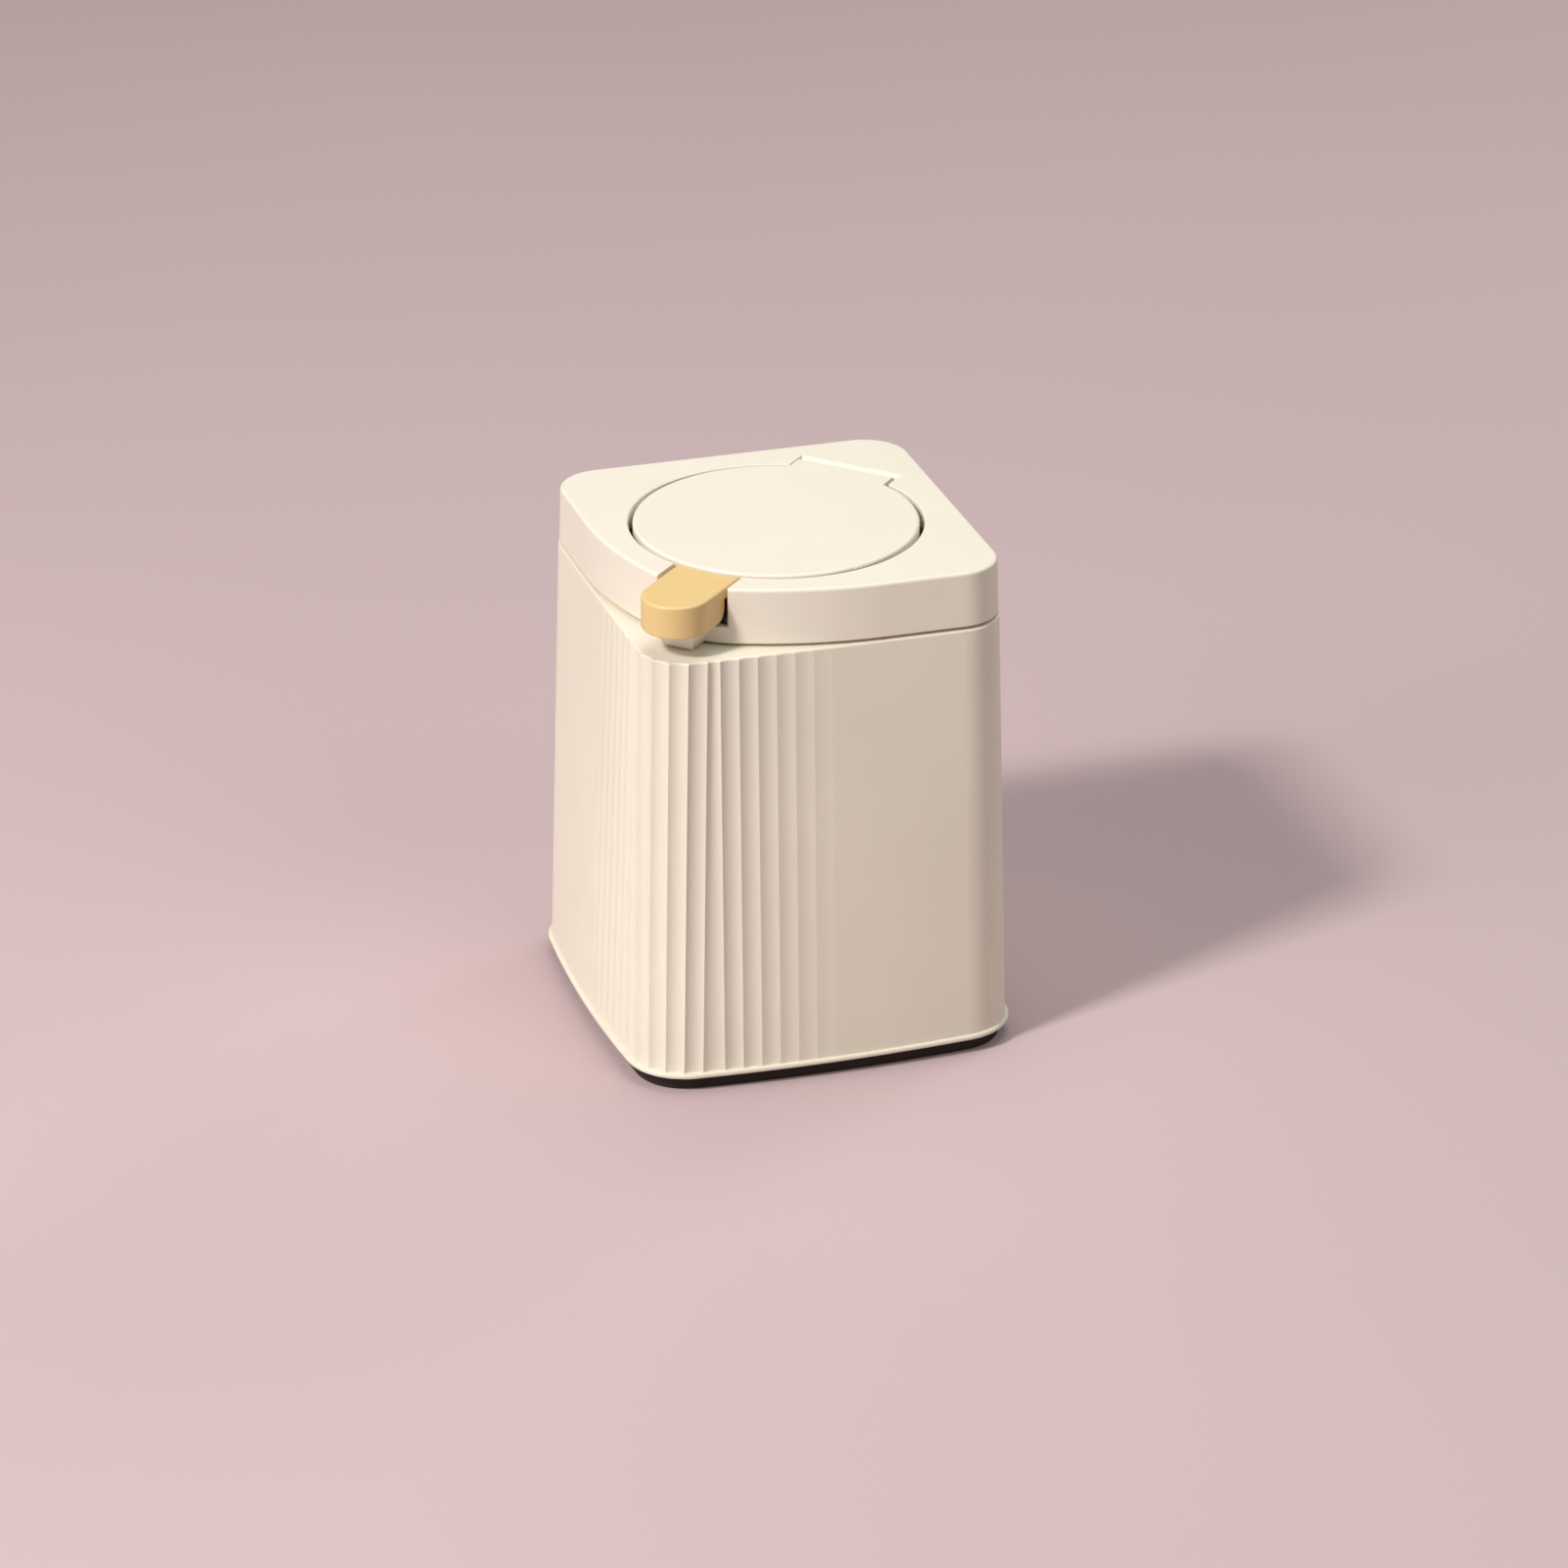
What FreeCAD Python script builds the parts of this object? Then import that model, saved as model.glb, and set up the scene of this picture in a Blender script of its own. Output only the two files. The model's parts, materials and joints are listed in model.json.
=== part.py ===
import FreeCAD, Part
import math
import os
import re
from FreeCAD import Placement, Rotation, Vector

# Small square countertop bin with a lift-off lid. A round flap in the lid is thrown open by a spring
# when the thumb button at one corner is pressed.
# Frame: origin under the middle of the base, on the surface it stands on, +Z up, faces along X and Y.
# The button is at the (-X, -Y) corner and the flap's hinge at the (+X, +Y) corner.
# Lid pieces are drawn on the diagonal: x runs across it, y from the button towards the hinge.

doc = FreeCAD.newDocument("lidded_bin")
sheet = doc.addObject("Spreadsheet::Sheet", "Sizes")

SIZES = {
    # Body and base
    "foot_height": 4.8,
    "lip_thickness": 1.6,
    "lip_overhang": 1.1,
    "body_height": 135.8,
    "body_half_low": 61.0,
    "body_bow": 1.8,
    "body_taper": 3.6,
    "body_corner_low": 18.0,
    "corner_taper": 3.0,
    "body_wall": 2.2,
    "deck_thickness": 2.4,
    "deck_rounding": 0.6,
    "flute_pitch": 5.9,
    "flute_depth": 0.8,
    "flute_shift": 0.5,
    "plinth_inset": 3.1,
    "plinth_wall": 2.4,
    "plinth_lift": 0.15,
    "plinth_groove": 0.7,
    "collar_height": 8.0,
    "collar_wall": 1.8,
    "collar_clearance": 0.5,
    "pad_radius": 7.0,
    "pad_inset": 20.0,
    "pad_recess": 1.0,
    "pad_seat": 1.4,
    "pad_clearance": 0.1,
    "pad_boss_wall": 1.6,
    "pad_rounding": 0.5,
    # Lid cover
    "seam_gap": 1.0,
    "lid_height": 17.6,
    "lid_step": 0.4,
    "lid_taper": 0.4,
    "lid_corner_step": 0.6,
    "lid_side_arc": 122.0,
    "lid_side_arc_start": 17.0,
    "lid_nose_arc": 36.0,
    "lid_rounding": 1.0,
    "lid_low_rounding": 0.4,
    "lid_wall": 2.0,
    "lid_top_wall": 2.4,
    "ring_width": 10.9,
    "hole_rim_wall": 1.5,
    "hole_rim_depth": 6.0,
    "hole_bevel": 0.3,
    "notch_gap": 1.05,
    "notch_rounding": 1.0,
    "notch_cheek": 2.3,
    "notch_lead": 3.7,
    "shelf_rise": 4.2,
    "beak_gap": 0.6,
    "beak_reach": 17.6,
    "beak_half": 4.6,
    "beak_length": 9.0,
    "beak_root_half": 5.2,
    "beak_lean": 3.2,
    "beak_flare": 2.4,
    "beak_root_flare": 3.4,
    "beak_scoop": 0.3,
    "boss_radius": 3.5,
    "boss_reach": 11.3,
    # Lid frame
    "plate_thickness": 2.0,
    "plate_clearance": 0.3,
    "throat_inset": 4.5,
    "throat_wall": 2.0,
    "mouth_inset": 5.0,
    "skirt_clearance": 0.3,
    "skirt_wall": 1.8,
    "skirt_depth": 8.0,
    # Flap
    "flap_gap": 1.5,
    "flap_rise": 0.4,
    "flap_depth": 4.6,
    "flap_skin": 1.8,
    "flap_rim": 1.6,
    "flap_rounding": 0.9,
    "tab_half": 16.5,
    "tab_overhang": 1.9,
    "tab_lead": 7.7,
    "tab_thickness": 2.6,
    "tab_rounding": 1.0,
    "panel_thickness": 1.5,
    "panel_clearance": 0.3,
    "panel_boss_radius": 2.5,
    "seal_width": 1.6,
    "seal_height": 1.7,
    "seal_clearance": 0.3,
    "catch_half": 4.0,
    "catch_inset": 0.2,
    "catch_drop": 4.9,
    "catch_reach": 0.9,
    "catch_tooth": 2.4,
    # Flap hinge
    "hinge_setback": 0.7,
    "hinge_drop": 3.0,
    "hinge_pin_radius": 1.0,
    "knuckle_radius": 2.2,
    "knuckle_setback": 0.3,
    "recess_gap": 1.0,
    "recess_reach": 5.3,
    "recess_bevel": 1.2,
    "recess_depth": 8.0,
    "recess_wall": 1.5,
    "ear_thickness": 3.0,
    "ear_lead": 2.2,
    "pin_clearance": 0.05,
    "pin_bevel": 0.25,
    "seat_clearance": 0.03,
    # Torsion spring on the hinge pin
    "flap_spring_radius": 1.5,
    "flap_spring_wire": 0.5,
    "flap_spring_pitch": 1.2,
    "flap_spring_relief": 0.3,
    "flap_spring_leg": 3.4,
    # Button
    "button_half": 10.65,
    "button_length": 19.5,
    "button_gap": 0.9,
    "button_travel": 1.8,
    "button_sink": 0.2,
    "button_rounding": 0.8,
    "button_low_rounding": 0.6,
    "side_setback": 8.7,
    "side_rounding": 4.6,
    "button_wall": 1.6,
    "button_skin": 1.8,
    "lever_clearance": 0.3,
    "lever_plate": 1.8,
    "lever_setback": 2.4,
    "lever_shoulder": 3.6,
    "lever_nose": 3.9,
    "lever_front_half": 6.0,
    "lever_arm_width": 3.0,
    "lever_boss_radius": 2.2,
    "lever_screw_setback": 1.0,
    "lever_screw_boss": 2.2,
    "lever_screw_depth": 1.2,
    "rocker_setback": 5.4,
    "rocker_rise": 4.5,
    "rocker_pin_radius": 1.0,
    "tooth_gap": 0.3,
    "tooth_hold": 0.5,
    "tooth_height": 2.0,
    "tooth_lip": 0.6,
    "tooth_web": 1.6,
    "tooth_run": 2.4,
    "button_spring_gap": 1.4,
    "button_spring_radius": 1.5,
    "button_spring_wire": 0.5,
    "peg_radius": 0.9,
    "peg_height": 1.6,
    # Screws
    "lid_screw_radius": 1.2,
    "lid_screw_length": 9.0,
    "lid_screw_head": 2.6,
    "small_screw_radius": 0.9,
    "small_screw_head": 1.9,
    "head_overlap": 0.8,
    "screw_head_height": 1.2,
    "drive_width": 0.6,
    "drive_depth": 0.7,
    "screw_clearance": 0.2,
    "screw_end_gap": 0.3,
    "thread_clearance": 0.03,
    # One overrun serves every cut
    "overrun": 1.0,
}
FACE_FLUTES = 6
CORNER_FLUTES = 3
BEVEL_STEPS = 3
BUTTON_SPRING_TURNS = 6
DRIVE_SHARE = 0.6
FLAP_SPRING_SHARE = 0.617
KNUCKLE_SHARE = 0.48
LATCH_SLOPE_SHARE = 0.5
LIP_ROUNDING_SHARE = 0.45
PANEL_SCREW_SHARE = 0.47

# Sizes that follow from the driving ones; those named offset, back, front and root lie on the diagonal
DERIVED = {
    "body_half_top": "body_half_low - body_taper",
    "body_corner_top": "body_corner_low - corner_taper",
    "lip_rounding": f"lip_thickness * {LIP_ROUNDING_SHARE}",
    "pad_offset": "body_half_low - pad_inset",
    "lid_half_low": "body_half_top - lid_step",
    "lid_half_top": "lid_half_low - lid_taper",
    "lid_corner": "body_corner_top - lid_corner_step",
    "boss_offset": "flap_hole_radius + boss_reach",
    "flap_hole_radius": "lid_half_top - ring_width",
    "flap_radius": "flap_hole_radius - flap_gap",
    "throat_radius": "flap_radius - throat_inset",
    "panel_screw_offset": f"flap_radius * {PANEL_SCREW_SHARE}",
    "flap_screw_length": "flap_depth - flap_skin / 2 - screw_end_gap",
    "catch_stem": "flap_radius - catch_inset",
    "catch_tip": "catch_stem + catch_reach",
    "tab_back": "flap_hole_radius + tab_overhang",
    "tab_root": "flap_hole_radius - tab_lead",
    "hinge_offset": "flap_hole_radius + hinge_setback",
    "knuckle_outer": "tab_half - knuckle_setback",
    "knuckle_inner": f"knuckle_outer * {KNUCKLE_SHARE}",
    "flap_spring_half": f"knuckle_inner * {FLAP_SPRING_SHARE}",
    "recess_half": "tab_half + recess_gap",
    "recess_back": "flap_hole_radius + recess_reach",
    "ear_front": "flap_hole_radius - ear_lead",
    "ear_half": "recess_half + ear_thickness",
    "notch_half": "button_half + notch_gap",
    "notch_back": "flap_hole_radius - notch_lead",
    "cheek_half": "notch_half + notch_cheek",
    "beak_front": "flap_hole_radius + beak_reach",
    "beak_root": "beak_front - beak_length",
    "button_back_radius": "flap_radius + button_gap",
    "button_straight": "button_back_radius + button_length",
    "side_back": "button_back_radius + side_setback",
    "lever_half": "button_half - button_wall - lever_clearance",
    "lever_back": "button_back_radius + lever_setback",
    "lever_neck": "button_straight - lever_shoulder",
    "lever_front": "button_straight + lever_nose",
    "lever_screw_offset": "button_straight - lever_screw_setback",
    "lever_screw_head": "lever_screw_boss + screw_clearance + head_overlap",
    "lever_screw_length": "lever_plate + lever_screw_depth - screw_end_gap",
    "rocker_offset": "button_back_radius + rocker_setback",
    "button_spring_room": "lever_screw_head + button_spring_radius + button_spring_gap",
    "button_spring_offset": "lever_screw_offset - button_spring_room",
}

for row, (alias, number) in enumerate(SIZES.items(), start=1):
    sheet.set(f"A{row}", alias)
    sheet.set(f"B{row}", str(number))
    sheet.setAlias(f"B{row}", alias)
doc.recompute()

# Levels above the surface the bin stands on
BODY_LOW = "(foot_height + lip_thickness)"
BODY_TOP = f"({BODY_LOW} + body_height)"
LID_LOW = f"({BODY_TOP} + seam_gap)"
LID_TOP = f"({LID_LOW} + lid_height)"
LID_CEILING = f"({LID_TOP} - lid_top_wall)"
PLATE_TOP = f"({BODY_TOP} + plate_thickness)"
SHELF = f"({PLATE_TOP} + shelf_rise)"
FLAP_TOP = f"({LID_TOP} + flap_rise)"
FLAP_LOW = f"({FLAP_TOP} - flap_depth)"
PANEL_TOP = f"({FLAP_LOW} + panel_thickness)"
SKIN_LOW = f"({FLAP_TOP} - flap_skin)"
THROAT_TOP = f"({FLAP_LOW} - seal_height - seal_clearance)"
HINGE_Z = f"({FLAP_TOP} - hinge_drop)"
CAP_TOP = f"({LID_TOP} - button_sink)"
CAP_LOW = f"({SHELF} + button_travel)"
CAP_CEILING = f"({CAP_TOP} - button_skin)"
LEVER_LOW = f"({CAP_CEILING} - lever_plate)"
ROCKER_Z = f"({PLATE_TOP} + rocker_rise)"
CATCH_LOW = f"({FLAP_LOW} - catch_drop)"
CATCH_TOP = f"({CATCH_LOW} + catch_tooth)"

# Radius, length and head radius of each kind of screw
LID_SCREW = ("lid_screw_radius", "lid_screw_length", "lid_screw_head")
FLAP_SCREW = ("small_screw_radius", "flap_screw_length", "small_screw_head")
LEVER_SCREW = ("small_screw_radius", "lever_screw_length", "lever_screw_head")

DIAGONAL = Placement(Vector(0, 0, 0), Rotation(Vector(0, 0, 1), -45))
ALONG_X = Rotation(Vector(0, 1, 0), 90)
NODES = []


def qualified(text):
    """Expression text with every size pointed at its cell, or written out where it follows from others."""

    def spelled(found):
        name = found.group(0)
        return f"({qualified(DERIVED[name])})" if name in DERIVED else "Sizes." + name

    return re.sub(r"[a-z][a-z_]*[a-z]", spelled, str(text))


def at(text):
    """Value in millimetres of an expression of sizes."""
    return float(sheet.evalExpression(qualified(text)))


def bind(item, **sizes):
    """Bind properties of an object to expressions of sizes."""
    for name, text in sizes.items():
        item.setExpression(name.replace("__", "."), qualified(text))
    return item


def place(item, x, y, z):
    return bind(item, Placement__Base__x=x, Placement__Base__y=y, Placement__Base__z=z)


def block(x, y, z, name="block"):
    """Box between a low and a high expression on each axis."""
    item = doc.addObject("Part::Box", name)
    lengths = [f"({high}) - ({low})" for low, high in (x, y, z)]
    bind(item, Length=lengths[0], Width=lengths[1], Height=lengths[2])
    return place(item, x[0], y[0], z[0])


def post(radius, x, y, z, name="post"):
    """Upright cylinder between two levels."""
    item = doc.addObject("Part::Cylinder", name)
    bind(item, Radius=radius, Height=f"({z[1]}) - ({z[0]})")
    return place(item, x, y, z[0])


def axle(radius, x, y, z, name="axle"):
    """Cylinder that lies across the diagonal, between two values of x."""
    item = doc.addObject("Part::Cylinder", name)
    item.Placement = Placement(Vector(0, 0, 0), ALONG_X)
    bind(item, Radius=radius, Height=f"({x[1]}) - ({x[0]})")
    return place(item, x[0], y, z)


def fuse(items, name="fuse"):
    item = doc.addObject("Part::MultiFuse", name)
    item.Shapes = items
    return item


def cut(base, tools, name="cut"):
    item = doc.addObject("Part::Cut", name)
    item.Base = base
    item.Tool = tools[0] if len(tools) == 1 else fuse(tools)
    return item


def tube(outer, inner, z, name="tube"):
    """Upright ring about the axis of the bin."""
    bore = (f"{z[0]} - overrun", f"{z[1]} + overrun")
    return cut(post(outer, 0, 0, z), [post(inner, 0, 0, bore)], name)


def sketch(segments, z, name="outline"):
    """Level sketch of lines and arcs, each a tuple of two or three points."""
    item = doc.addObject("Sketcher::SketchObject", name)
    for points in segments:
        corners = [Vector(x, y, 0) for x, y in points]
        item.addGeometry(Part.LineSegment(*corners) if len(corners) == 2 else Part.Arc(*corners))
    return place(item, 0, 0, z)


def prism(segments, z, name="prism"):
    item = doc.addObject("Part::Extrusion", name)
    item.Base = sketch(segments, z[0])
    item.DirMode = "Custom"
    item.Dir = Vector(0, 0, 1)
    item.Solid = True
    return bind(item, LengthFwd=f"({z[1]}) - ({z[0]})")


def profile(points, half, name="profile"):
    """Polygon of (y, z) corners, drawn out to both sides of the diagonal plane."""
    item = doc.addObject("Part::Extrusion", name)
    base = doc.addObject("Sketcher::SketchObject", "side_outline")
    base.Placement = Placement(Vector(0, 0, 0), Rotation(Vector(1, 1, 1), 120))
    for start, end in zip(points, points[1:] + points[:1]):
        base.addGeometry(Part.LineSegment(Vector(*start, 0), Vector(*end, 0)))
    item.Base = base
    item.DirMode = "Custom"
    item.Dir = Vector(1, 0, 0)
    item.Solid = True
    item.Symmetric = True
    return bind(item, LengthFwd=f"2 * ({half})")


def loft(low, high, z, name="loft"):
    item = doc.addObject("Part::Loft", name)
    item.Sections = [sketch(low, z[0]), sketch(high, z[1])]
    item.Solid = True
    item.Ruled = True
    return item


def rounded(base, radius, chosen, name="rounded"):
    """Fillet on the edges of a shape that the test picks."""
    doc.recompute()
    item = doc.addObject("Part::Fillet", name)
    item.Base = base
    amount = at(radius)
    item.Edges = [(k, amount, amount) for k, edge in enumerate(base.Shape.Edges, start=1) if chosen(edge)]
    return item


def level_edge(z):
    """Test for edges that lie at one level."""
    height = at(z)

    def chosen(edge):
        box = edge.BoundBox
        return max(abs(box.ZMin - height), abs(box.ZMax - height)) < at("seat_clearance")

    return chosen


def node(item, label, diagonal=True):
    """Name a finished sub-part and turn it onto the bin's diagonal."""
    if diagonal:
        item.Placement = DIAGONAL.multiply(item.Placement)
    item.Label = label
    NODES.append(item)
    return item


def on_circle(centre, radius, degrees):
    turn = math.radians(degrees)
    return (centre[0] + radius * math.cos(turn), centre[1] + radius * math.sin(turn))


def arc(centre, radius, start, end):
    """Three points of an arc between two directions in degrees."""
    return tuple(on_circle(centre, radius, turn) for turn in (start, (start + end) / 2, end))


def to_diagonal(segments):
    """Turn an outline drawn along X and Y onto the diagonal axes."""
    scale = math.sqrt(0.5)
    return [tuple(((x - y) * scale, (x + y) * scale) for x, y in points) for points in segments]


def side_radius(half, corner, bow):
    """Radius of a bowed side of a square that runs smoothly into its corners."""
    return ((half - corner) ** 2 + (corner + bow) ** 2 - corner ** 2) / (2 * bow)


def side_lean(half, corner, bow):
    """Degrees by which a corner arc stops short of the quarter turn at each end."""
    if not bow:
        return 0.0
    return math.degrees(math.asin((half - corner) / (side_radius(half, corner, bow) - corner)))


def side_point(x, half, corner, bow):
    """Point at x on the -Y side of a square."""
    if not bow:
        return (x, -half)
    radius = side_radius(half, corner, bow)
    return (x, radius - half - bow - math.sqrt(radius ** 2 - x ** 2))


def square_outline(half, corner, bow=0.0):
    """Square with round corners, counterclockwise from the -Y side; a bow carries out the sides' middles."""
    flat = half - corner
    lean = side_lean(half, corner, bow)
    segments = []
    for quarter in range(4):
        turn = 90 * quarter
        centre = on_circle((0, 0), flat * math.sqrt(2), turn - 45)
        next_centre = on_circle((0, 0), flat * math.sqrt(2), turn + 45)
        corner_arc = arc(centre, corner, turn - 90 + lean, turn - lean)
        middle = [on_circle((0, 0), half + bow, turn)] if bow else []
        segments.append(corner_arc)
        segments.append((corner_arc[-1], *middle, on_circle(next_centre, corner, turn + lean)))
    return segments


def nose_middle(half):
    """Both coordinates of the nose arc's centre, from where it touches the two side arcs from inside."""
    side = at("lid_side_arc")
    start = at("lid_side_arc_start")
    reach = side - half
    spread = 2 * (side - at("lid_nose_arc")) ** 2 - (reach - start) ** 2
    return (reach + start - math.sqrt(spread)) / 2


def lid_outline(half, inset=0.0):
    """Lid seen from above: three round corners, and two long arcs that meet in a blunt nose."""
    corner = at("lid_corner")
    side = at("lid_side_arc")
    start = at("lid_side_arc_start")
    nose = at("lid_nose_arc")
    reach = side - half
    middle = nose_middle(half)
    left = (reach, start)
    right = (start, reach)
    meet = math.degrees(math.atan2(middle - start, middle - reach)) % 360
    flat = half - corner
    small = corner - inset
    edge = half - inset
    segments = [((start, -edge), (flat, -edge))]
    for quarter, next_point in enumerate([(edge, flat), (-flat, edge), (-edge, start)]):
        turn = 90 * quarter
        centre = on_circle((0, 0), flat * math.sqrt(2), turn - 45)
        bend = arc(centre, small, turn - 90, turn)
        segments.append(bend)
        segments.append((bend[-1], next_point))
    segments.append(arc(left, side - inset, 180, meet))
    segments.append(arc((middle, middle), nose - inset, meet, 450 - meet))
    segments.append(arc(right, side - inset, 450 - meet, 270))
    return to_diagonal(segments)


def flute_ridges(half, corner, inset, bow):
    """Ridge lines of one half of the fluted corner, from the diagonal along the -Y face."""
    pitch = at("flute_pitch")
    flat = half - corner
    quarter = corner * math.pi / 4
    side = (half - inset, corner - inset, bow)
    ridges = []
    for step in range(CORNER_FLUTES):
        run = (step + 1 / 2) * pitch
        turn = math.degrees(run / corner)
        if turn < 45 - side_lean(*side):
            ridges.append(on_circle((-flat, -flat), corner - inset, 225 + turn))
        else:
            ridges.append(side_point(run - quarter - flat, *side))
    # The ridges on the face are upright, spaced on from the corner's at half the body's height.
    middle_flat = at("(body_half_low - body_corner_low + body_half_top - body_corner_top) / 2")
    middle_quarter = at("(body_corner_low + body_corner_top) / 2") * math.pi / 4
    first = (CORNER_FLUTES + 1 / 2) * pitch - middle_quarter - middle_flat - at("flute_shift")
    for step in range(FACE_FLUTES + 1):
        ridges.append(side_point(first + step * pitch, *side))
    return ridges


def flute(start, end, depth):
    """Arc from ridge to ridge, hollow by the depth on its left."""
    run = (end[0] - start[0], end[1] - start[1])
    length = math.hypot(*run)
    across = (-run[1] / length, run[0] / length)
    middle = tuple((a + b) / 2 + depth * side for a, b, side in zip(start, end, across))
    return (start, middle, end)


def fluted_outline(half, corner, inset, bow):
    """Body seen from above: deep flutes round the button corner that fade out along two faces."""
    ridges = flute_ridges(half, corner, inset, bow)
    depth = at("flute_depth")
    plain = len(ridges) - FACE_FLUTES
    depths = [depth] * plain + [depth * (1 - (k + 1) / (FACE_FLUTES + 1)) for k in range(FACE_FLUTES)]
    mirrored = [(y, x) for x, y in ridges]
    forward = [flute(a, b, d) for a, b, d in zip(ridges, ridges[1:], depths[1:])]
    backward = [flute(b, a, d) for a, b, d in zip(mirrored, mirrored[1:], depths[1:])][::-1]
    # The plain part of the square: corner, side, corner, side, corner, from (+X, -Y) round to (-X, +Y).
    side = (half - inset, corner - inset, bow)
    plain_part = square_outline(*side)[:5]
    end = plain_part[0][0]
    middle = [side_point((ridges[-1][0] + end[0]) / 2, *side)] if bow else []
    first = (ridges[-1], *middle, end)
    last = tuple((y, x) for x, y in reversed(first))
    return [flute(mirrored[0], ridges[0], depth)] + forward + [first] + plain_part + [last] + backward


def wire(segments, z):
    edges = []
    for points in segments:
        corners = [Vector(x, y, z) for x, y in points]
        curve = Part.LineSegment(*corners) if len(corners) == 2 else Part.Arc(*corners)
        edges.append(curve.toShape())
    return Part.Wire(edges)


def make_body_shell():
    """Fluted shell, wider at the foot, with a deck round the mouth and its top edge rounded."""
    low = at(BODY_LOW)
    top = at(BODY_TOP)
    bend = at("deck_rounding")
    foot = (at("body_half_low"), at("body_corner_low"))
    head = (at("body_half_top"), at("body_corner_top"))
    bow = at("body_bow")
    outer = [wire(fluted_outline(*foot, 0.0, bow), low), wire(fluted_outline(*head, 0.0, 0.0), top - bend)]
    for step in range(BEVEL_STEPS):
        turn = math.radians(90 * (step + 1) / BEVEL_STEPS)
        inset = bend * (1 - math.cos(turn))
        outer.append(wire(fluted_outline(*head, inset, 0.0), top - bend * (1 - math.sin(turn))))
    shell = Part.makeLoft(outer, True, True)

    wall = at("body_wall")
    rise = at("body_height")
    over = at("overrun")
    spread = (foot[0] - head[0]) / rise
    corner_spread = (foot[1] - head[1]) / rise

    def inner(z):
        half = foot[0] - spread * (z - low) - wall
        corner = foot[1] - corner_spread * (z - low) - wall
        return wire(square_outline(half, corner, bow * (top - z) / rise), z)

    hollow = Part.makeLoft([inner(low - over), inner(top - at("deck_thickness"))], True, True)
    shell = shell.cut(hollow)
    mouth = Part.Face(wire(lid_outline(at("lid_half_low"), at("mouth_inset")), low))
    mouth.Placement = DIAGONAL
    opening = mouth.extrude(Vector(0, 0, rise + over))
    item = doc.addObject("Part::Feature", "body_shell")
    item.Shape = shell.cut(opening)
    return node(item, "body_shell", diagonal=False)


def body_sketch(body, z, outlines, circles=()):
    """Level sketch in a body, its height bound to the sheet; circles are (radius, x, y) expressions."""
    level = next(p for p in body.Origin.OriginFeatures if p.Role == "XY_Plane")
    item = body.newObject("Sketcher::SketchObject", "level_sketch")
    item.AttachmentSupport = [(level, "")]
    item.MapMode = "FlatFace"
    bind(item, AttachmentOffset__Base__z=z)
    for segments in outlines:
        for points in segments:
            corners = [Vector(x, y, 0) for x, y in points]
            item.addGeometry(Part.LineSegment(*corners) if len(corners) == 2 else Part.Arc(*corners))
    for radius, x, y in circles:
        item.addGeometry(Part.Circle(Vector(at(x), at(y), 0), Vector(0, 0, 1), at(radius)))
    return item


def pad(body, z, height, outlines, circles=(), down=False):
    item = body.newObject("PartDesign::Pad", "pad")
    item.Profile = body_sketch(body, z, outlines, circles)
    item.Reversed = down
    bind(item, Length=height)
    return item


def pocket(body, z, depth, outlines, circles=(), up=False):
    item = body.newObject("PartDesign::Pocket", "pocket")
    item.Profile = body_sketch(body, z, outlines, circles)
    item.Reversed = up
    bind(item, Length=depth)
    return item


def body_fillet(body, base, radius, chosen):
    doc.recompute()
    names = [f"Edge{k}" for k, edge in enumerate(base.Shape.Edges, start=1) if chosen(edge)]
    item = body.newObject("PartDesign::Fillet", "fillet")
    item.Base = (base, names)
    return bind(item, Radius=radius)


def pad_places():
    """Centres of the four rubber pads, as expressions."""
    return [(f"{x} * pad_offset", f"{y} * pad_offset") for x, y in ((-1, -1), (-1, 1), (1, -1), (1, 1))]


def make_base_plate():
    """Floor with a rounded lip, a collar that plugs into the body, pad seats and the plinth's groove."""
    body = doc.addObject("PartDesign::Body", "base_plate")
    half = at("body_half_low + lip_overhang")
    corner = at("body_corner_low + lip_overhang")
    bow = at("body_bow")
    floor = pad(body, "foot_height", "lip_thickness", [square_outline(half, corner, bow)])
    under_lip = level_edge("foot_height")
    over_lip = level_edge(BODY_LOW)
    body_fillet(body, floor, "lip_rounding", lambda edge: under_lip(edge) or over_lip(edge))
    clear = at("body_wall + collar_clearance")
    insets = (clear, clear + at("collar_wall"))
    rim = [square_outline(at("body_half_low") - k, at("body_corner_low") - k, bow) for k in insets]
    pad(body, BODY_LOW, "collar_height", rim)
    seats = [("pad_radius + pad_clearance + pad_boss_wall", x, y) for x, y in pad_places()]
    pad(body, "foot_height", "foot_height - pad_seat", [], seats, down=True)
    recesses = [("pad_radius + pad_clearance", x, y) for x, y in pad_places()]
    pocket(body, "pad_seat", "pad_recess", [], recesses, up=True)
    pocket(body, "foot_height", "plinth_groove", plinth_outlines("pad_clearance"), up=True)
    return node(body, "base_plate", diagonal=False)


def plinth_outlines(clearance):
    """Outer and inner line of the plinth ring, each widened by a clearance."""
    half = at("body_half_low + lip_overhang")
    corner = at("body_corner_low + lip_overhang")
    insets = (at(f"plinth_inset - {clearance}"), at(f"plinth_inset + plinth_wall + {clearance}"))
    return [square_outline(half - inset, corner - inset, at("body_bow")) for inset in insets]


def make_plinth_ring():
    """Dark ring pressed into the groove under the lip; the pads stand a little lower."""
    body = doc.addObject("PartDesign::Body", "plinth_ring")
    height = "foot_height + plinth_groove - pad_clearance - plinth_lift"
    ring = pad(body, "plinth_lift", height, plinth_outlines("0"))
    body_fillet(body, ring, "pad_rounding", level_edge("plinth_lift"))
    return node(body, "plinth_ring", diagonal=False)


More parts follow.
